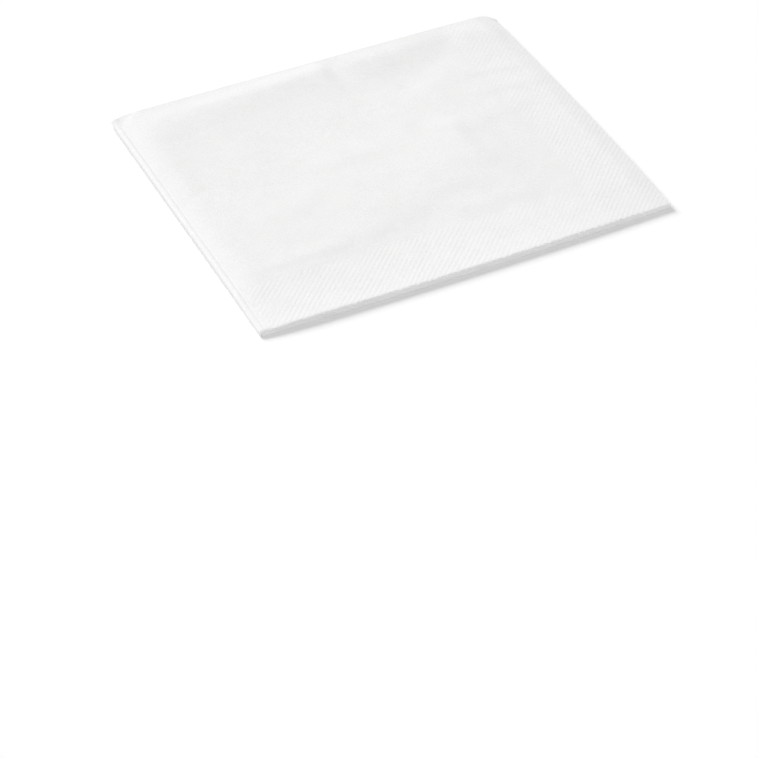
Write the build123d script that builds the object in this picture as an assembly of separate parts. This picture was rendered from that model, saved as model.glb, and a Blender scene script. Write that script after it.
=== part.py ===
from build123d import *

import math
import os

# Quarter-folded paper napkin: one sheet folded in half twice, with an embossed border.
# X runs along the long side of the folded napkin, Y towards the first fold and Z up.
# It lies flat with its second fold, the spine, at -X and its first fold at +Y.
# The cut edges of all four layers are at +X and at -Y. All sizes are in millimetres.

# The sheet, laid flat
sheet_length = 330.0
sheet_width = 280.0
paper = 0.50

# The folds
leaf_gap = 0.20  # air between the two layers that the first fold joins
spine_gap = 0.40  # air between the two leaves that the spine joins
first_fold_drift = 0.15  # how far the first fold lies off the sheet's middle line

# The outline of the folded layers
front_bow = 1.2  # how far the front edges swell out in the middle
side_bow = 1.0  # how far the side edges swell out in the middle
corner_radius = 5.5  # the soft end of the first fold, in plan
corner_turn = 75.0  # degrees that the first fold curls round at that end

# The embossed border along the cut edges
border = 24.0
emboss_pitch = 1.70  # across the lines
emboss_width = 0.60
emboss_depth = 0.12
emboss_rise = 0.15  # how far the bulky border and folds stand above the plain middle
emboss_margin = 2.0  # plain strip beside the folds

# Levels above the plane between the two leaves
inner_level = spine_gap / 2
outer_level = inner_level + paper + leaf_gap
leaf_middle = inner_level + paper + leaf_gap / 2
leaf_top = outer_level + paper

# The flat layers run from the folds to the cut edges. Their ends at +X are trimmed flush,
# and at the front the layers differ by the drift of the first fold.
quarter_turn = math.pi / 2
run = sheet_length / 2 - quarter_turn * leaf_middle
fold_share = quarter_turn * (leaf_gap / 2 + paper / 2)
outer_depth = sheet_width / 2 - fold_share - first_fold_drift
inner_depth = sheet_width / 2 - fold_share + first_fold_drift

# The first fold runs straight along y = 0, then curls round the far corner to its end
curl = math.radians(corner_turn)
fold_end_x = run - side_bow
curl_x = fold_end_x - corner_radius * math.sin(curl)
fold_end_y = corner_radius * (math.cos(curl) - 1)
half_curl_x = curl_x + corner_radius * math.sin(curl / 2)
half_curl_y = corner_radius * (math.cos(curl / 2) - 1)


def layer_outline(depth):
    """Plan of one layer: spine at x = 0, first fold at y = 0, bowed cut edges."""
    front_y = front_bow - depth
    side_x = run - side_bow
    spine_back = (0, 0)
    spine_front = (0, front_y)
    front_corner = (side_x, front_y)
    fold_end = (fold_end_x, fold_end_y)
    edges = [
        Line(spine_back, (curl_x, 0)),
        ThreePointArc((curl_x, 0), (half_curl_x, half_curl_y), fold_end),
        ThreePointArc(fold_end, (run, (fold_end_y + front_y) / 2), front_corner),
        ThreePointArc(front_corner, (side_x / 2, -depth), spine_front),
        Line(spine_front, spine_back),
    ]
    return make_face(edges)


def layer(depth, level, thickness):
    """One flat layer of paper with its lower face at the given level."""
    return Pos(0, 0, level) * extrude(layer_outline(depth), amount=thickness)


def fold_section():
    """Half ring of paper that joins the two layers of a leaf, seen along the first fold."""
    inside = leaf_gap / 2
    outside = inside + paper
    edges = [
        ThreePointArc((0, leaf_middle + outside), (outside, leaf_middle), (0, leaf_middle - outside)),
        Line((0, leaf_middle - outside), (0, leaf_middle - inside)),
        ThreePointArc((0, leaf_middle - inside), (inside, leaf_middle), (0, leaf_middle + inside)),
        Line((0, leaf_middle + inside), (0, leaf_middle + outside)),
    ]
    return Plane.YZ * make_face(edges)


def first_fold():
    """The first fold of one leaf, straight and then curled round the corner."""
    straight = extrude(fold_section(), amount=curl_x, dir=(1, 0, 0))
    curl_axis = Axis((curl_x, -corner_radius, 0), (0, 0, 1))
    curled = revolve(Pos(curl_x, 0, 0) * fold_section(), curl_axis, -corner_turn)
    return straight + curled


def spine():
    """The second fold: the section of a leaf turned half round the spine's own axis."""
    legs = []
    for depth, level in ((outer_depth, outer_level), (inner_depth, inner_level)):
        length = depth - front_bow
        leg = Rectangle(length, paper, align=(Align.MAX, Align.MIN))
        legs.append(Plane.YZ * Pos(0, level) * leg)
    section = fold_section() + legs
    return revolve(section, Axis.Y, -180)


def border_field():
    """The strip along the two cut edges that carries the embossing, in plan."""
    outline = layer_outline(outer_depth)
    block = Rectangle(sheet_length, sheet_width, align=(Align.MAX, Align.MIN))
    plain_middle = Pos(run - border, border - outer_depth) * block
    window = Rectangle(sheet_length, sheet_width, align=(Align.MIN, Align.MAX))
    beside_folds = Pos(emboss_margin, fold_end_y - emboss_margin) * window
    return (outline - plain_middle) & beside_folds


def groove(offset):
    """One embossed line: a shallow V along the diagonal x - y = offset, open above the paper."""
    clear = emboss_depth
    flare = emboss_width / 2 * (emboss_depth + clear) / emboss_depth
    across = Plane((offset / 2, -offset / 2, leaf_top), x_dir=(1, -1, 0), z_dir=(1, 1, 0))
    # The plane's own y axis points down, into the paper
    outline = make_face(Polyline((-flare, -clear), (flare, -clear), (0, emboss_depth), close=True))
    return extrude(across * outline, amount=math.hypot(sheet_length, sheet_width), both=True)


def embossed_border():
    """The border at its full height, ruled with parallel diagonal lines."""
    field = Pos(0, 0, outer_level) * extrude(border_field(), amount=paper)
    step = emboss_pitch * math.sqrt(2)
    count = math.ceil((run + outer_depth) / step)
    return field - [groove(step * index) for index in range(count)]


outer_layer = layer(outer_depth, outer_level, paper - emboss_rise) + embossed_border()
inner_layer = layer(inner_depth, inner_level, paper)
upper_leaf = outer_layer + inner_layer + first_fold()
lower_leaf = mirror(upper_leaf, about=Plane.XY)
napkin = upper_leaf + spine() + lower_leaf

# The origin is under the middle of the napkin, on the surface that it lies on
box = napkin.bounding_box()
napkin = Pos(-box.center().X, -box.center().Y, -box.min.Z) * napkin

os.makedirs("parts", exist_ok=True)
export_step(napkin, "parts/napkin.step")
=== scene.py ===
import math

import bpy
import numpy as np
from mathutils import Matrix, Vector
from mathutils.geometry import delaunay_2d_cdt


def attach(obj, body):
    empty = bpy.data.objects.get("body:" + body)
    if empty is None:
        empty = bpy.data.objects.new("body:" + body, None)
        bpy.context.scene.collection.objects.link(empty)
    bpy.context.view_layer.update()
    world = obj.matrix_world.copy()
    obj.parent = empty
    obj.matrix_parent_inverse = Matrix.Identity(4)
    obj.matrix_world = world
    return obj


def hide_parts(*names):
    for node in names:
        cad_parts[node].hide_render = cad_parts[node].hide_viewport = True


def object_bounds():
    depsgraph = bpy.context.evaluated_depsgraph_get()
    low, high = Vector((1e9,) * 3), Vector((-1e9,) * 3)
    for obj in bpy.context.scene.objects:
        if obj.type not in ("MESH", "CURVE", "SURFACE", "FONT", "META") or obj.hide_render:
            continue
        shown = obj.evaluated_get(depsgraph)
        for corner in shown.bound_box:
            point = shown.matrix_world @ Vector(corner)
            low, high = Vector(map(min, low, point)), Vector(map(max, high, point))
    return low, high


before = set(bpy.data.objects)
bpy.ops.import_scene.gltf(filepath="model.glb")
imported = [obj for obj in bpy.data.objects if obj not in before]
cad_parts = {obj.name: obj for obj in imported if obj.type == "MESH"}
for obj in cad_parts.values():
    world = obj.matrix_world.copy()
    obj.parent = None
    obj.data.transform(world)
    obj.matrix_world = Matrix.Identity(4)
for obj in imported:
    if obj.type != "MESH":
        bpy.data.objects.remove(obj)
cad_low, cad_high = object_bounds()

# Lengths on the sheet are in millimetres, and those of the grain, the floor and the camera in metres.
# On the sheet, a pair of distances is where something starts to change and where it has changed in full.
MM = 0.001
QUARTER = math.pi / 2
ROOT_2 = math.sqrt(2)
TINY = 1e-6

# The flat sheet. u runs across the spine fold and v across the first fold.
# The quarter with u > 0 and v > 0 ends up on top, the one with u < 0 and v > 0 underneath.
SHEET_LENGTH = 330.0
SHEET_WIDTH = 280.0
FOLD_DRIFT = 0.03  # how far the first fold lies off the middle line
PAPER = 0.54  # thickness
U_END = SHEET_LENGTH / 2
V_OUTER_END = SHEET_WIDTH / 2 - FOLD_DRIFT
V_INNER_END = SHEET_WIDTH / 2 + FOLD_DRIFT

# The cut edge
OUTER_INSET = 0.06  # how far the outside of the outer layers stops short of the cut
INNER_INSET = 0.04  # and every other face
INSET_CHANGE = (-2, 2)  # across the first fold
EDGE_RINGS = (0.25, -0.25)  # rows of points on the cut, as shares of the paper's thickness
SHARP_ANGLE = math.radians(60)

# The folds. Radii are to the middle of the paper.
LEAF_GAP = 0.24  # air between the two layers of a leaf
SPINE_GAP = 0.12  # and between the two leaves
FOLD_RADIUS = (PAPER + LEAF_GAP) / 2
LEAF_MIDDLE = SPINE_GAP / 2 + PAPER / 2 + FOLD_RADIUS
FOLD_TURN = QUARTER * FOLD_RADIUS  # paper in half of each fold, for the outer layers
SPINE_TURN = QUARTER * (LEAF_MIDDLE + FOLD_RADIUS)
SPINE_RADIUS = LEAF_MIDDLE + FOLD_RADIUS + PAPER / 2  # outside
SPINE_X = cad_low.x / MM + SPINE_RADIUS
FOLD_Y = cad_high.y / MM - FOLD_RADIUS - PAPER / 2
RUN = cad_high.x / MM - SPINE_X  # from the spine to the trimmed edges

# The outline in plan
FRONT_BOW = 1.2
SIDE_BOW = 1.0
BOW_REACH = 45.0
CORNER_RADIUS = 5.5  # of the far corner, where the first fold ends
CORNER_SHARE = 0.985  # how much of that radius the curve uses
CORNER_REACH = 16.0
BLUNT = 0.9  # how far the corner where the two folds cross is pushed in
BLUNT_REACH = 2.6

# The top layer rises and falls, and the inner layers follow it in proportion to the air below them
AIR = 2 * LEAF_GAP + SPINE_GAP
AIR_LEFT = 0.08  # where the layers are pressed together
CLOSED = AIR - AIR_LEFT
UPPER_INNER_SHARE = (LEAF_GAP + SPINE_GAP) / AIR
LOWER_INNER_SHARE = LEAF_GAP / AIR

# The top layer's bead and crease along the spine. The crushed corner where the two folds cross has neither.
SPINE_CREASE = 1.0  # distance of the crease from the spine
CREASE_DEPTH = 0.09
CREASE_WIDTH = 0.20
SPINE_RISE = 0.36
SPINE_REACH = 4.0
CRUSHED_SLANT = 0.75
CRUSHED_END = (5.8, 7.4)
RISE_PAST_CORNER = (5, 12)
PINCH = 0.30  # how far the front end of the spine is squeezed, as a share
PINCH_ALONG = 11.0
PINCH_RANGE = (28.0, 0)

# The top layer's slow sags
MIDDLE_SAG = 0.26
MIDDLE_FROM_FOLD = (4, 30)
MIDDLE_FROM_SPINE = (10, 55)
FRONT_SAG = 0.42
FRONT_SAG_RANGE = (24.0, 0)
FRONT_CRIMP = 0.20
FRONT_CRIMP_RANGE = (1.0, 0)
SIDE_SLOPE = 0.25
SIDE_SLOPE_RANGE = (34.0, 0)
SIDE_SAG = 0.50
SIDE_SAG_RANGE = (8.0, -1)

# The top layer's buckles, which die out towards the folds and the edges. Each is a soft ridge, or a valley
# where its height is negative: its line in plan, its widths to the left and right of that line, its height.
# The line's points are measured from the spine and from the front edge.
BUCKLES_FROM_SPINE = (1, 9)
BUCKLES_FROM_FOLD = (-1, 9)
BUCKLES_FROM_FRONT = (0, 9)
BUCKLES_FROM_SIDE = (0, 6)

# The swollen back, in two halves with a gap between them
SWOLLEN_BACK_LEFT = (
    (((14, 124), (34, 128), (60, 131), (86, 137)), 12, 9, 0.40),
    (((20, 127), (60, 131), (86, 136)), 12, 28, 0.50),
    (((62, 132), (86, 137)), 12, 8, 0.22),
)
LEFT_HALF_END = (90, 83)
SWOLLEN_BACK_RIGHT = (((94, 134), (142, 136)), 12, 10, 0.60)
RIGHT_HALF_START = (88, 98)

# The short upright buckle, which fades towards the front
UPRIGHT_BUCKLE = (((114, 54), (113, 64), (113, 78)), 8, 3.6, 0.55)
UPRIGHT_START = (40, 70)

BUCKLES = (
    # The valley that runs from the far corner towards the middle
    (((111, 112), (123, 119), (140, 132)), 12, 7, -0.50),
    # The long ridge across the front and the fainter ones beside it
    (((42, 33.5), (58, 36), (76, 41), (90, 47), (102, 48)), 34, 7.2, 0.54),
    (((84, 55), (106, 60)), 34, 10, 0.34),
    (((8, 31), (46, 31)), 4, 1.8, 0.16),
    (((94, 32), (114, 32)), 14, 4, 0.22),
    # Short buckles in the middle and on the right
    (((116, 76), (143, 81)), 6, 4, 0.18),
    (((98, 88), (94, 100)), 6, 4, 0.20),
    (((58, 77), (80, 78)), 8, 4, 0.20),
    (((40, 58), (52, 66)), 7, 5, 0.22),
    (((122, 34), (117, 54)), 8, 6, 0.22),
    (((134, 106), (153, 104)), 4, 2.5, 0.16),
    (((134, 93), (160, 91)), 4, 2.5, 0.16),
    (((146, 134), (160, 127)), 6, 5, 0.20),
    # The pinch in the spine
    (((3, 78), (15, 83)), 1.5, 1.5, -0.12),
)

# The top layer's finest unevenness: the height, seed and spacing of each set of waves
FINE_WAVES = ((0.075, 3, 34.0), (0.035, 7, 15.0), (0.018, 5, 9.0))
WAVE_COUNT = 9  # in a set
WAVE_SPREAD = (0.7, 1.6)  # of their spacing, as shares

# The embossed border along the cut edges
BORDER = 24.0
BORDER_FADE = 2.4
EMBOSS_PITCH = 1.7
EMBOSS_DEPTH = 0.125
EMBOSS_WIDTH = 0.18
EMBOSS_FROM_SPINE = (2.5, 4.5)
EMBOSS_FROM_FOLD = (1.0, 2.5)
WANDER = 0.26  # how far the lines stray from straight
WANDER_SEED = 17
WANDER_LENGTH = 30.0

# Each embossed line is a row of dashes of uneven depth
DASH_PITCH = 1.1
DASH_STAGGER = 0.37  # from one line's dashes to the next line's, as a share of the pitch
DASH_GAP_DEPTH = 0.26  # depth between the dashes, as a share
DASH_DEPTHS = (0.7, 1.0)  # least and greatest, as shares
DASH_SEED = 11
DASH_REPEAT = (199, 211)  # lines and dashes after which the uneven depths come again

# The embossed lines are weaker and stronger from place to place
WEAR = 0.30
WEAR_SEED = 23
WEAR_LENGTH = 13.0
WEAR_LIMITS = (0.3, 1.3)
STRENGTH_AT_FOLD = 0.55  # at the first fold, as a share of that at the front edge
FAINT = 0.30  # how much weaker they are towards the right of the front border
FAINT_START = (85, 105)
FAINT_END = (146, 134)

# Shifts of the material's tone over the sheet: painted light and shade, and a paler embossed border
# Painted light: a paler strip beside the spine
SPINE_PAINTED_LIGHT = 0.13
SPINE_PAINTED_LIGHT_RANGE = (12, 2)
# Painted shade: greyer on the spine's bead, darkest at its outer side
BEAD_PAINTED_SHADE = -0.60
BEAD_PAINTED_SHADE_RANGE = (1.6, 0.2)
# Painted shade: a grey line in the spine's crease
CREASE_PAINTED_SHADE = -0.25
CREASE_PAINTED_SHADE_WIDTH = 0.17
TUCK_PAINTED_SHADE = -0.30  # painted shade in the crushed corner
TUCK_FROM_SPINE = (2.6, 1.2)
TUCK_FROM_FOLD = (3.4, 1.6)
# Painted shade: greyer round the first fold
FOLD_PAINTED_SHADE = -0.45
FOLD_PAINTED_SHADE_RANGE = (1.0, 0.15)
BORDER_TINT = 0.06
# Painted light: paler towards the front edge
FRONT_PAINTED_LIGHT = 0.12
FRONT_PAINTED_LIGHT_RANGE = (30, 0)
FRONT_PAINTED_LIGHT_ALONG = (170, 90)
# Painted shade: greyer towards the side edge, and more so right at it
SIDE_PAINTED_SHADE = -0.05
SIDE_PAINTED_SHADE_RANGE = (75, 25)
SIDE_EDGE_PAINTED_SHADE = -0.15
SIDE_EDGE_RANGE = (9, 0)
# Painted light: the inside and the cut edge are paler, lightening the shaded cut edge
INSIDE_PAINTED_LIGHT = 0.30

# The mesh's points on the flat sheet: distances of the rows from each fold, closest at the spine's crease
SPINE_ROWS_BEFORE = (0.2, 0.45, 0.7, 1.0, 1.3, 1.6, 1.9, 2.2, 2.4)
SPINE_ROWS_AT_CREASE = (2.55, 2.65, 2.74, 2.83, 2.95, 3.1)
SPINE_ROWS_AFTER = (3.4, 3.8, 4.4, 5.2)
SPINE_ROWS = SPINE_ROWS_BEFORE + SPINE_ROWS_AT_CREASE + SPINE_ROWS_AFTER
UNDER_SPINE_ROWS = (0.25, 0.55, 0.9, 1.3, 1.8, 2.6, 4.0)
FOLD_ROWS = (0.12, 0.24, 0.36, 0.48, 0.6, 0.9, 1.5)
INSIDE_ROWS = (0.15, 0.35, 0.7, 1.4)

# Then rows across one pitch of the embossed lines, and the steps along rows, fields and edges
EMBOSS_ROWS_TOP = (0.0, 0.18, 0.42, 0.85, 1.28, 1.52)
EMBOSS_ROWS_UNDER = (0.0, 0.35, 0.85, 1.35)
EMBOSS_ROWS_REACH = BORDER + 1  # from the cut edges
EMBOSS_STEP_TOP = DASH_PITCH / 2
EMBOSS_STEP_UNDER = 1.4
BEND_STEP = 1.8
TOP_STEP = 1.5
HIDDEN_STEP = 4.0
EDGE_STEP_TOP = 0.4
EDGE_STEP_UNDER = 0.8
EDGE_STEP_HIDDEN = 1.5
MARGIN = 0.3  # clear of the rows and edges next to the embossed rows
CONVEX_HULL = 0  # the kind of triangulation: all over the convex outline
MERGE_DISTANCE = 1e-5

# The tissue. Scales are per metre.
TISSUE_FINISH = {
    "Roughness": 0.92,
    "Specular IOR Level": 0.1,
    "Sheen Weight": 0.08,
    "Sheen Roughness": 0.6,
}
GREYEST_TISSUE = (0.75, 0.75, 0.746, 1)
PALEST_TISSUE = (1, 1, 0.996, 1)
CLOUD_SCALE = 170
CLOUD_DETAIL = 3
CLOUD_STRETCH = (1, 1, 1)
CLOUD_TONE_SHARE = 0.2
FIBRE_SCALE = 2100
FIBRE_DETAIL = 4
FIBRE_STRETCH = (1, 0.6, 1)
FIBRE_TONE_SHARE = 0.8
FIBRE_GRAIN_SHARE = 0.6
CREPE_SCALE = 2600
CREPE_DETAIL = 3
CREPE_STRETCH = (0.25, 1, 1)
CREPE_GRAIN_SHARE = 0.4
PRESSED_TONE_AND_SHADE = 0.32  # how much darker the embossed lines are: denser pressed tissue and painted shade in the grooves
GRAIN_STRENGTH = 0.4
GRAIN_HEIGHT = 0.0001

# The floor, the lamps and the surround
WHITE = (1, 1, 1, 1)
FLOOR_HALF = 3.0
FLOOR_DROP = 0.00003  # clear of the napkin's underside
FLOOR_AS_LIGHT = (0.95, 0.95, 0.95, 1)
KEY_FROM = (-0.30, 0.77, 0.53)
KEY_STRENGTH = 2.58
KEY_SPREAD = math.radians(30)
FILL_FROM = (-0.10, -0.80, 0.50)
FILL_STRENGTH = 0.55
FILL_SPREAD = math.radians(60)
SURROUND_AS_LIGHT = 0.468
SURROUND_AS_SEEN = 1.0

# The camera, in the frame of the row: it looks at a point of the floor in front of the napkin
CAMERA_AZIMUTH = math.radians(-26.33)
CAMERA_ELEVATION = math.radians(41.35)
CAMERA_AIM = Vector((-0.0554, -0.1062, 0))
CAMERA_DISTANCE = 0.8625
NEAREST_SEEN = 0.01
FARTHEST_SEEN = 20
FOCAL_PIXELS = 2560
IMAGE_PIXELS = 758
SENSOR_MM = 36.0


def ramp(value, start, end):
    """Smooth step from 0 at start to 1 at end."""
    t = np.clip((value - start) / (end - start), 0, 1)
    return t * t * (3 - 2 * t)


def bell(distance, width):
    """1 at no distance, falling smoothly to almost nothing at twice the width."""
    return np.exp(-((distance / width) ** 2))


def crease(x, y, points, left, right, height):
    """A soft ridge along a line through points in plan, with its own width on the left and right of it."""
    nearest = np.full(x.shape, np.inf)
    side = np.zeros(x.shape)
    for (start_x, start_y), (end_x, end_y) in zip(points, points[1:]):
        run_x, run_y = end_x - start_x, end_y - start_y
        from_x, from_y = x - start_x, y - start_y
        part = np.clip((from_x * run_x + from_y * run_y) / (run_x * run_x + run_y * run_y), 0, 1)
        away = np.hypot(from_x - part * run_x, from_y - part * run_y)
        leftward = (run_x * from_y - run_y * from_x) / math.hypot(run_x, run_y)
        closer = away < nearest
        side = np.where(closer, np.clip(leftward / np.maximum(away, TINY), -1, 1), side)
        nearest = np.where(closer, away, nearest)
    width = (left + right) / 2 + (left - right) / 2 * side
    return height * bell(nearest, width)


def creases(x, y, lines):
    """Several soft ridges together."""
    return sum(crease(x, y, *line) for line in lines)


def waves(x, y, seed, length):
    """Smooth irregular waves between about -1 and 1, with crests about length apart."""
    random = np.random.default_rng(seed)
    total = np.zeros_like(x)
    for _ in range(WAVE_COUNT):
        angle = random.uniform(0, 2 * math.pi)
        size = 2 * math.pi / (length * random.uniform(*WAVE_SPREAD))
        phase = random.uniform(0, 2 * math.pi)
        total += np.cos(size * (x * math.cos(angle) + y * math.sin(angle)) + phase)
    return total / math.sqrt(2 * WAVE_COUNT)


def relief(x, y):
    """Height of the top layer's buckles. x is from the spine, y from the front edge."""
    total = sum(height * waves(x, y, seed, spacing) for height, seed, spacing in FINE_WAVES)
    total += creases(x, y, SWOLLEN_BACK_LEFT) * ramp(x, *LEFT_HALF_END)
    total += crease(x, y, *SWOLLEN_BACK_RIGHT) * ramp(x, *RIGHT_HALF_START)
    total += crease(x, y, *UPRIGHT_BUCKLE) * ramp(y, *UPRIGHT_START)
    return total + creases(x, y, BUCKLES)


def beside_spine(along, depth):
    """1 beside the spine and 0 in the crushed corner where the two folds cross."""
    return ramp(depth + CRUSHED_SLANT * along, *CRUSHED_END)


def spine_bead(along, depth):
    """The bead along the spine, the fine crease beside it and the slope that rises from there."""
    crease_line = -CREASE_DEPTH * bell(along - SPINE_CREASE, CREASE_WIDTH)
    rise = SPINE_RISE * (1 - np.exp(-np.clip(along - SPINE_CREASE, 0, None) / SPINE_REACH))
    return (crease_line + rise) * np.maximum(beside_spine(along, depth), ramp(along, *RISE_PAST_CORNER))


def top_lift(along, depth, front, side):
    """How far the top layer lies above, or below, its level at the folds."""
    lift = spine_bead(along, depth)
    lift -= MIDDLE_SAG * ramp(depth, *MIDDLE_FROM_FOLD) * ramp(along, *MIDDLE_FROM_SPINE)
    lift -= SIDE_SLOPE * ramp(side, *SIDE_SLOPE_RANGE) + SIDE_SAG * ramp(side, *SIDE_SAG_RANGE)
    lift -= FRONT_SAG * ramp(front, *FRONT_SAG_RANGE) + FRONT_CRIMP * ramp(front, *FRONT_CRIMP_RANGE)
    clear = ramp(along, *BUCKLES_FROM_SPINE) * ramp(depth, *BUCKLES_FROM_FOLD)
    clear *= ramp(front, *BUCKLES_FROM_FRONT) * ramp(side, *BUCKLES_FROM_SIDE)
    lift += clear * relief(along, front)
    return np.where(lift > 0, lift, CLOSED * np.tanh(lift / CLOSED))


def plan(along, depth, reach):
    """Bows the cut edges and rounds the corners. along is from the spine, depth from the first fold."""
    share = np.clip(along / RUN, 0, 1)
    back = np.clip(depth / reach, 0, 1)
    pull_front = FRONT_BOW * (2 * share - 1) ** 2 * ramp(depth, reach - BOW_REACH, reach)
    pull_side = SIDE_BOW * (2 * back - 1) ** 2 * ramp(along, RUN - BOW_REACH, RUN)
    into = np.clip((along - RUN + CORNER_RADIUS) / CORNER_RADIUS, 0, CORNER_SHARE)
    sweep = CORNER_RADIUS * (1 - np.sqrt(1 - into**2))
    pull_corner = sweep * np.exp(-np.clip(depth, 0, None) / CORNER_REACH)
    blunt = BLUNT * bell(np.hypot(along, depth), BLUNT_REACH)
    return along - pull_side + blunt, depth - pull_front + pull_corner + blunt


def folded(u, v, out):
    """Row-frame points, in metres, of places on the sheet that lie out millimetres outside its middle."""
    fold_turn = np.clip(v / FOLD_RADIUS, -QUARTER, QUARTER)
    flat_depth = np.abs(v) - FOLD_TURN
    side_of_leaf = np.sin(fold_turn)
    depth = np.where(flat_depth > 0, flat_depth, -(FOLD_RADIUS + out) * np.cos(fold_turn))
    middle = LEAF_MIDDLE + FOLD_RADIUS * side_of_leaf
    level = middle + out * side_of_leaf

    # The flat runs are trimmed to one length
    spine_turn = np.clip(u / middle, -QUARTER, QUARTER)
    flat_along = (np.abs(u) - QUARTER * middle) * RUN / (U_END - QUARTER * middle)
    upper = np.sin(spine_turn)
    along = np.where(flat_along > 0, flat_along, -level * np.cos(spine_turn))
    height = level * upper

    # Shares of the four layers, blended where the paper turns from one to the next
    outer = (1 + side_of_leaf) / 2
    top = (1 + upper) / 2
    share = top * (outer + (1 - outer) * UPPER_INNER_SHARE)
    share += (1 - top) * (1 - outer) * LOWER_INNER_SHARE
    reach = np.where(v > 0, V_OUTER_END, V_INNER_END) - FOLD_TURN
    front = reach - depth
    lift = share * top_lift(along, depth, front, RUN - along)
    squeeze = 1 - PINCH * np.exp(-np.clip(along, 0, None) / PINCH_ALONG) * ramp(front, *PINCH_RANGE)

    along, depth = plan(along, depth, reach)
    points = np.stack([SPINE_X + along, FOLD_Y - depth, squeeze * (SPINE_RADIUS + height + lift)], axis=1)
    return points * MM


def in_border(u, v):
    """1 in the border of an outer layer and 0 elsewhere, with a soft change between."""
    from_edge = np.minimum(V_OUTER_END - v, U_END - np.abs(u))
    return ramp(from_edge, BORDER + BORDER_FADE / 2, BORDER - BORDER_FADE / 2) * (v > 0)


def wander(u, v):
    """How far the embossed lines stray from straight."""
    return WANDER * waves(np.abs(u), v, WANDER_SEED, WANDER_LENGTH)


def wear(u, v):
    """How strong the embossed lines are, as a share."""
    strength = np.clip(1 + WEAR * waves(np.abs(u), v, WEAR_SEED, WEAR_LENGTH), *WEAR_LIMITS)
    strength *= STRENGTH_AT_FOLD + (1 - STRENGTH_AT_FOLD) * v / V_OUTER_END
    return strength * (1 - FAINT * ramp(np.abs(u), *FAINT_START) * ramp(np.abs(u), *FAINT_END))


def emboss(u, v):
    """How deep the embossed lines press into the outside of the outer layers."""
    across = (np.abs(u) + v) / ROOT_2 - wander(u, v)
    down = (np.abs(u) - v) / ROOT_2
    index = np.round(across / EMBOSS_PITCH)
    groove = bell(across - index * EMBOSS_PITCH, EMBOSS_WIDTH)
    place = down / DASH_PITCH + DASH_STAGGER * index
    beat = ((1 + np.cos(2 * math.pi * place)) / 2) ** 2
    depths = np.random.default_rng(DASH_SEED).uniform(*DASH_DEPTHS, DASH_REPEAT)
    lines, dashes = DASH_REPEAT
    depth = depths[index.astype(int) % lines, np.round(place).astype(int) % dashes]
    dash = depth * (DASH_GAP_DEPTH + (1 - DASH_GAP_DEPTH) * beat)
    clear = ramp(np.abs(u), *EMBOSS_FROM_SPINE) * ramp(v, *EMBOSS_FROM_FOLD)
    return EMBOSS_DEPTH * in_border(u, v) * groove * dash * wear(u, v) * clear


def painted_light_and_tone(u, v):
    """Painted light and shade, and the paler border: palest beside the spine and to the front, greyer round
    the folds and to the side.
    """
    along, depth = np.abs(u) - SPINE_TURN, v - FOLD_TURN
    front, side = V_OUTER_END - v, U_END - np.abs(u)
    # Painted light: paler beside the spine and towards the front
    spine_strip = SPINE_PAINTED_LIGHT * ramp(along, *SPINE_PAINTED_LIGHT_RANGE) * beside_spine(along, depth)
    front_strip = FRONT_PAINTED_LIGHT * ramp(front, *FRONT_PAINTED_LIGHT_RANGE) * ramp(np.abs(u), *FRONT_PAINTED_LIGHT_ALONG)
    # Painted shade along the crease
    crease_line = bell(along - SPINE_CREASE, CREASE_PAINTED_SHADE_WIDTH) * beside_spine(along, depth)
    shade = np.maximum(spine_strip, front_strip) + BORDER_TINT * in_border(u, v)
    # Painted shade on the bead and in the crease
    shade += BEAD_PAINTED_SHADE * ramp(np.abs(u), *BEAD_PAINTED_SHADE_RANGE) + CREASE_PAINTED_SHADE * crease_line
    # Painted shade in the crushed corner
    shade += TUCK_PAINTED_SHADE * ramp(along, *TUCK_FROM_SPINE) * ramp(depth, *TUCK_FROM_FOLD)
    # Painted shade round the first fold
    shade += FOLD_PAINTED_SHADE * ramp(np.abs(v), *FOLD_PAINTED_SHADE_RANGE)
    # Painted shade towards the side edge
    return shade + SIDE_PAINTED_SHADE * ramp(side, *SIDE_PAINTED_SHADE_RANGE) + SIDE_EDGE_PAINTED_SHADE * ramp(side, *SIDE_EDGE_RANGE)


def steps(start, end, step):
    """Evenly spaced values between start and end, leaving out both ends."""
    count = max(2, math.ceil(abs(end - start) / step))
    return np.linspace(start, end, count + 1)[1:-1]


def side_values(rows, end, step):
    """The rows beside a fold, then even steps from the last of them to the cut edge."""
    return np.concatenate([rows, steps(rows[-1], end, step)])


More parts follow.
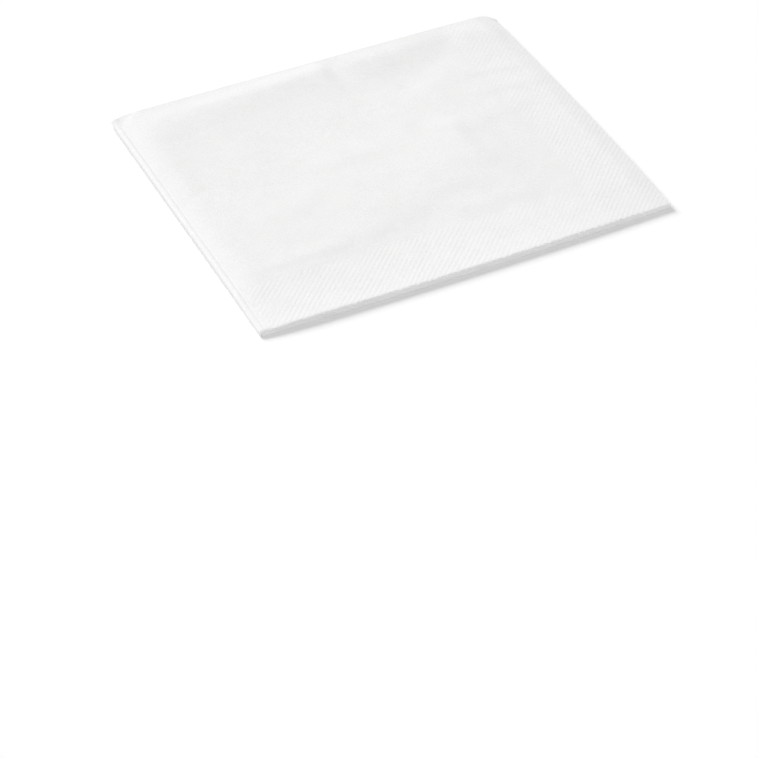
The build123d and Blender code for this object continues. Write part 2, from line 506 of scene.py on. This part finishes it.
def perimeter():
    """Points round the sheet's cut edge, closest on the two edges that show most, and their outward ways."""
    right_u = side_values(SPINE_ROWS, U_END, EDGE_STEP_TOP)
    left_u = -side_values(UNDER_SPINE_ROWS, U_END, EDGE_STEP_UNDER)
    hidden_u = side_values(INSIDE_ROWS, U_END, EDGE_STEP_HIDDEN)
    front_v = side_values(FOLD_ROWS, V_OUTER_END, EDGE_STEP_TOP)
    under_v = side_values(FOLD_ROWS, V_OUTER_END, EDGE_STEP_UNDER)
    hidden_v = -side_values(FOLD_ROWS, V_INNER_END, EDGE_STEP_HIDDEN)
    outer_u = np.sort(np.concatenate([left_u, [0.0], right_u, [U_END, -U_END]]))
    inner_u = np.sort(np.concatenate([-hidden_u, [0.0], hidden_u, [U_END, -U_END]]))
    top_v = np.sort(np.concatenate([hidden_v, [0.0], front_v]))
    low_v = np.sort(np.concatenate([hidden_v, [0.0], under_v]))
    inner_edge = [(u, -V_INNER_END) for u in inner_u]
    right_edge = [(U_END, v) for v in top_v]
    outer_edge = [(u, V_OUTER_END) for u in outer_u[::-1]]
    left_edge = [(-U_END, v) for v in low_v[::-1]]
    edge = np.array(inner_edge + right_edge + outer_edge + left_edge)
    u, v = edge.T
    out_u = np.where(np.abs(u) == U_END, np.sign(u), 0)
    out_v = np.where(v == V_OUTER_END, 1, 0) - np.where(v == -V_INNER_END, 1, 0)
    return edge, np.stack([out_u, out_v], axis=1)


def field(u, v):
    """All points with one of the values of u and one of the values of v."""
    return np.stack(np.meshgrid(u, v), axis=-1).reshape(-1, 2)


def bends(right_rows, left_rows, fold_rows):
    """Points in rows along both folds."""
    spine = np.concatenate([-np.array(left_rows), [0.0], right_rows])
    fold = np.concatenate([-np.array(fold_rows), [0.0], fold_rows])
    u_right = steps(right_rows[-1], U_END, BEND_STEP)
    u_left = -steps(left_rows[-1], U_END, BEND_STEP)
    v_front = steps(fold_rows[-1], V_OUTER_END, BEND_STEP)
    v_inner = -steps(fold_rows[-1], V_INNER_END, BEND_STEP)
    along_u = np.concatenate([u_left, spine, u_right])
    along_v = np.concatenate([v_inner, v_front])
    return np.concatenate([field(along_u, fold), field(spine, along_v)])


def grid(u_end, v_end, step):
    """A field of points over one quarter of the sheet, clear of its folds and edges."""
    u_first, v_first = SPINE_ROWS[-1] + step / 2, FOLD_ROWS[-1] + step / 2
    u = np.linspace(u_first, abs(u_end) - step / 2, round(abs(u_end) / step)) * np.sign(u_end)
    v = np.linspace(v_first, abs(v_end) - step / 2, round(abs(v_end) / step)) * np.sign(v_end)
    return field(u, v)


def emboss_rows(side, rows, step):
    """Points in rows along the embossed lines of one outer quarter."""
    reach = math.hypot(SHEET_LENGTH, SHEET_WIDTH)
    found = []
    for index in range(math.ceil(reach / EMBOSS_PITCH)):
        for number, offset in enumerate(rows):
            across = index * EMBOSS_PITCH + offset
            stagger = DASH_STAGGER * round(across / EMBOSS_PITCH) % 1 * DASH_PITCH
            # Every second row is shifted by half a step
            down = step * (np.arange(-math.ceil(reach / step), reach / step) + number % 2 / 2) - stagger
            u, v = (across + down) / ROOT_2, (across - down) / ROOT_2
            stray = wander(u, v) / ROOT_2
            u, v = u + stray, v + stray
            near_edge = (V_OUTER_END - v < EMBOSS_ROWS_REACH) | (U_END - u < EMBOSS_ROWS_REACH)
            in_quarter = (u > SPINE_ROWS[-1] + MARGIN) & (u < U_END - MARGIN)
            in_quarter &= (v > FOLD_ROWS[-1] + MARGIN) & (v < V_OUTER_END - MARGIN)
            keep = near_edge & in_quarter
            found.append(np.stack([side * u[keep], v[keep]], axis=1))
    return np.concatenate(found)


def plain_middle(side, step):
    """Points of one outer quarter inside the embossed border."""
    points = grid(side * U_END, V_OUTER_END, step)
    clear = EMBOSS_ROWS_REACH + step / 2
    inside = (np.abs(points[:, 0]) < U_END - clear) & (points[:, 1] < V_OUTER_END - clear)
    return points[inside]


def outside_points():
    """Points of the sheet's outside, which shows on top, underneath and round the folds."""
    return np.concatenate([
        bends(SPINE_ROWS, UNDER_SPINE_ROWS, FOLD_ROWS),
        emboss_rows(1, EMBOSS_ROWS_TOP, EMBOSS_STEP_TOP),
        plain_middle(1, TOP_STEP),
        emboss_rows(-1, EMBOSS_ROWS_UNDER, EMBOSS_STEP_UNDER),
        plain_middle(-1, HIDDEN_STEP),
        grid(U_END, -V_INNER_END, HIDDEN_STEP),
        grid(-U_END, -V_INNER_END, HIDDEN_STEP),
    ])


def inside_points():
    """Points of the sheet's inside, which only shows in the slits between the layers."""
    quarters = [(u, v) for u in (-U_END, U_END) for v in (-V_INNER_END, V_OUTER_END)]
    fields = [grid(u, v, HIDDEN_STEP) for u, v in quarters]
    return np.concatenate([bends(INSIDE_ROWS, INSIDE_ROWS, INSIDE_ROWS)] + fields)


def triangulated(edge, inner):
    """Triangles over the flat sheet whose first points are those of its edge, in order."""
    points = np.concatenate([edge, inner])
    count = len(edge)
    rim = [(i, (i + 1) % count) for i in range(count)]
    flat = [Vector(p) for p in points.tolist()]
    _, _, faces, origins, _, _ = delaunay_2d_cdt(flat, rim, [], CONVEX_HULL, MERGE_DISTANCE)
    first = np.array([min(origin) for origin in origins])
    return points, first[np.array(faces)]


def edge_faces(count, starts):
    """Triangles between closed rows of count points each, which begin at the given places in the mesh."""
    here = np.arange(count)
    after = (here + 1) % count
    faces = []
    for upper, lower in zip(starts, starts[1:]):
        faces.append(np.stack([here + upper, after + upper, after + lower], axis=1))
        faces.append(np.stack([here + upper, after + lower, here + lower], axis=1))
    return faces


def napkin_mesh():
    """One closed mesh: the sheet's outside, its inside and the cut edge between them."""
    edge, way = perimeter()
    count = len(edge)
    outer = ramp(edge[:, 1:], *INSET_CHANGE)
    outside_edge = edge - (INNER_INSET + (OUTER_INSET - INNER_INSET) * outer) * way
    outside, outside_faces = triangulated(outside_edge, outside_points())
    inside, inside_faces = triangulated(edge - INNER_INSET * way, inside_points())
    pressed = emboss(outside[:, 0], outside[:, 1])
    shell = folded(outside[:, 0], outside[:, 1], PAPER / 2 - pressed)
    lining = folded(inside[:, 0], inside[:, 1], np.full(len(inside), -PAPER / 2))
    rings = [folded(edge[:, 0], edge[:, 1], np.full(count, level * PAPER)) for level in EDGE_RINGS]
    points = np.concatenate([shell, lining] + rings)

    lining_start = len(shell)
    ring_start = lining_start + len(lining)
    row_starts = (0, ring_start, ring_start + count, lining_start)
    faces = [outside_faces[:, ::-1], inside_faces + lining_start] + edge_faces(count, row_starts)

    mesh = bpy.data.meshes.new("napkin_sheet")
    mesh.from_pydata(points.tolist(), [], np.concatenate(faces).tolist())
    mesh.shade_smooth()
    mesh.set_sharp_from_angle(angle=SHARP_ANGLE)
    # Per point: the embossed depth, and the painted light and shade, with painted light on the inside and
    # the cut edge
    looks = [
        ("pressed", pressed / EMBOSS_DEPTH, 0.0),
        ("painted_light_and_tone", painted_light_and_tone(outside[:, 0], outside[:, 1]), INSIDE_PAINTED_LIGHT),
    ]
    for name, shell_values, elsewhere in looks:
        values = np.full(len(points), elsewhere, np.float32)
        values[:lining_start] = shell_values
        mesh.attributes.new(name, "FLOAT", "POINT").data.foreach_set("value", values)
    return mesh


def tissue_material():
    """Soft white tissue: cloudy, fibrous and finely creped."""
    material = bpy.data.materials.new("tissue")
    material.use_nodes = True
    nodes, links = material.node_tree.nodes, material.node_tree.links
    shader = nodes["Principled BSDF"]
    for socket, value in TISSUE_FINISH.items():
        shader.inputs[socket].default_value = value

    place = nodes.new("ShaderNodeTexCoord")

    def noise(scale, detail, stretch):
        mapping = nodes.new("ShaderNodeMapping")
        mapping.inputs["Scale"].default_value = stretch
        links.new(place.outputs["Object"], mapping.inputs["Vector"])
        texture = nodes.new("ShaderNodeTexNoise")
        texture.inputs["Scale"].default_value = scale
        texture.inputs["Detail"].default_value = detail
        links.new(mapping.outputs["Vector"], texture.inputs["Vector"])
        return texture.outputs["Fac"]

    def attribute(name):
        node = nodes.new("ShaderNodeAttribute")
        node.attribute_name = name
        return node.outputs["Fac"]

    def math_node(operation, first, second):
        node = nodes.new("ShaderNodeMath")
        node.operation = operation
        for socket, value in zip(node.inputs, (first, second)):
            if isinstance(value, (int, float)):
                socket.default_value = value
            else:
                links.new(value, socket)
        return node.outputs["Value"]

    def mixed(first, first_share, second, second_share):
        first_part = math_node("MULTIPLY", first, first_share)
        second_part = math_node("MULTIPLY", second, second_share)
        return math_node("ADD", first_part, second_part)

    clouds = noise(CLOUD_SCALE, CLOUD_DETAIL, CLOUD_STRETCH)
    fibres = noise(FIBRE_SCALE, FIBRE_DETAIL, FIBRE_STRETCH)
    crepe = noise(CREPE_SCALE, CREPE_DETAIL, CREPE_STRETCH)

    tone = mixed(clouds, CLOUD_TONE_SHARE, fibres, FIBRE_TONE_SHARE)
    # Darker along the embossed lines: pressed tissue and painted shade
    tone = math_node("SUBTRACT", tone, math_node("MULTIPLY", attribute("pressed"), PRESSED_TONE_AND_SHADE))
    # The painted light and shade over the sheet
    tone = math_node("ADD", tone, attribute("painted_light_and_tone"))
    colour = nodes.new("ShaderNodeValToRGB")
    greyest, palest = colour.color_ramp.elements
    greyest.color = GREYEST_TISSUE
    palest.color = PALEST_TISSUE
    links.new(tone, colour.inputs["Fac"])
    links.new(colour.outputs["Color"], shader.inputs["Base Color"])

    grain = mixed(fibres, FIBRE_GRAIN_SHARE, crepe, CREPE_GRAIN_SHARE)
    bump = nodes.new("ShaderNodeBump")
    bump.inputs["Strength"].default_value = GRAIN_STRENGTH
    bump.inputs["Distance"].default_value = GRAIN_HEIGHT
    links.new(grain, bump.inputs["Height"])
    links.new(bump.outputs["Normal"], shader.inputs["Normal"])
    return material


def make_napkin():
    """The folded napkin, made of tissue."""
    napkin = bpy.data.objects.new("napkin_sheet", napkin_mesh())
    bpy.context.scene.collection.objects.link(napkin)
    napkin.data.materials.append(tissue_material())
    return napkin


def seen_directly(nodes, links):
    """1 where the camera sees a surface, itself or by reflection, and 0 where it only gives light."""
    path = nodes.new("ShaderNodeLightPath")
    seen = path.outputs["Is Camera Ray"]
    for ray in ("Is Glossy Ray", "Is Transmission Ray"):
        either = nodes.new("ShaderNodeMath")
        either.operation = "MAXIMUM"
        links.new(seen, either.inputs[0])
        links.new(path.outputs[ray], either.inputs[1])
        seen = either.outputs["Value"]
    return seen


def make_floor():
    """A plain white floor that shows white to the camera and keeps the napkin's shadow."""
    sides = [(-1, -1), (1, -1), (1, 1), (-1, 1)]
    corners = [(x * FLOOR_HALF, y * FLOOR_HALF, -FLOOR_DROP) for x, y in sides]
    mesh = bpy.data.meshes.new("floor")
    mesh.from_pydata(corners, [], [(0, 1, 2, 3)])
    floor = bpy.data.objects.new("floor", mesh)
    bpy.context.scene.collection.objects.link(floor)

    material = bpy.data.materials.new("floor_white")
    material.use_nodes = True
    nodes, links = material.node_tree.nodes, material.node_tree.links
    shader = nodes["Principled BSDF"]
    shader.inputs["Roughness"].default_value = 1.0
    shader.inputs["Specular IOR Level"].default_value = 0.0
    mix = nodes.new("ShaderNodeMix")
    mix.data_type = "RGBA"
    mix.inputs["A"].default_value = FLOOR_AS_LIGHT
    mix.inputs["B"].default_value = WHITE
    links.new(seen_directly(nodes, links), mix.inputs["Factor"])
    links.new(mix.outputs["Result"], shader.inputs["Base Color"])
    floor.data.materials.append(material)
    return floor


def add_sun(name, direction, strength, spread):
    """A soft distant lamp that shines from the given direction."""
    lamp = bpy.data.lights.new(name, "SUN")
    lamp.energy = strength
    lamp.angle = spread
    lamp_object = bpy.data.objects.new(name, lamp)
    bpy.context.scene.collection.objects.link(lamp_object)
    lamp_object.rotation_euler = Vector(direction).to_track_quat("Z", "Y").to_euler()


def make_surround():
    """An even white surround that gives soft light and shows white to the camera."""
    world = bpy.data.worlds.new("surround")
    bpy.context.scene.world = world
    world.use_nodes = True
    nodes, links = world.node_tree.nodes, world.node_tree.links
    light = nodes["Background"]
    light.inputs["Color"].default_value = WHITE
    light.inputs["Strength"].default_value = SURROUND_AS_LIGHT
    seen = nodes.new("ShaderNodeBackground")
    seen.inputs["Color"].default_value = WHITE
    seen.inputs["Strength"].default_value = SURROUND_AS_SEEN
    mix = nodes.new("ShaderNodeMixShader")
    links.new(seen_directly(nodes, links), mix.inputs["Fac"])
    links.new(light.outputs["Background"], mix.inputs[1])
    links.new(seen.outputs["Background"], mix.inputs[2])
    links.new(mix.outputs["Shader"], nodes["World Output"].inputs["Surface"])


def make_light():
    """A broad soft lamp from the back left, a weak one from the front and the surround."""
    add_sun("key", KEY_FROM, KEY_STRENGTH, KEY_SPREAD)
    add_sun("fill", FILL_FROM, FILL_STRENGTH, FILL_SPREAD)
    make_surround()


def make_camera():
    """The photograph's view: from the front left, looking down."""
    turn, rise = CAMERA_AZIMUTH, CAMERA_ELEVATION
    back = Vector((math.sin(turn) * math.cos(rise), -math.cos(turn) * math.cos(rise), math.sin(rise)))
    data = bpy.data.cameras.new("camera")
    data.sensor_width = SENSOR_MM
    data.lens = SENSOR_MM * FOCAL_PIXELS / IMAGE_PIXELS
    data.clip_start = NEAREST_SEEN
    data.clip_end = FARTHEST_SEEN
    camera = bpy.data.objects.new("camera", data)
    bpy.context.scene.collection.objects.link(camera)
    camera.location = CAMERA_AIM + CAMERA_DISTANCE * back
    camera.rotation_euler = (-back).to_track_quat("-Z", "Y").to_euler()
    bpy.context.scene.camera = camera


napkin = make_napkin()
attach(napkin, "root")
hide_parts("napkin")

floor = make_floor()

make_light()
make_camera()
bpy.context.scene.view_settings.view_transform = "Standard"
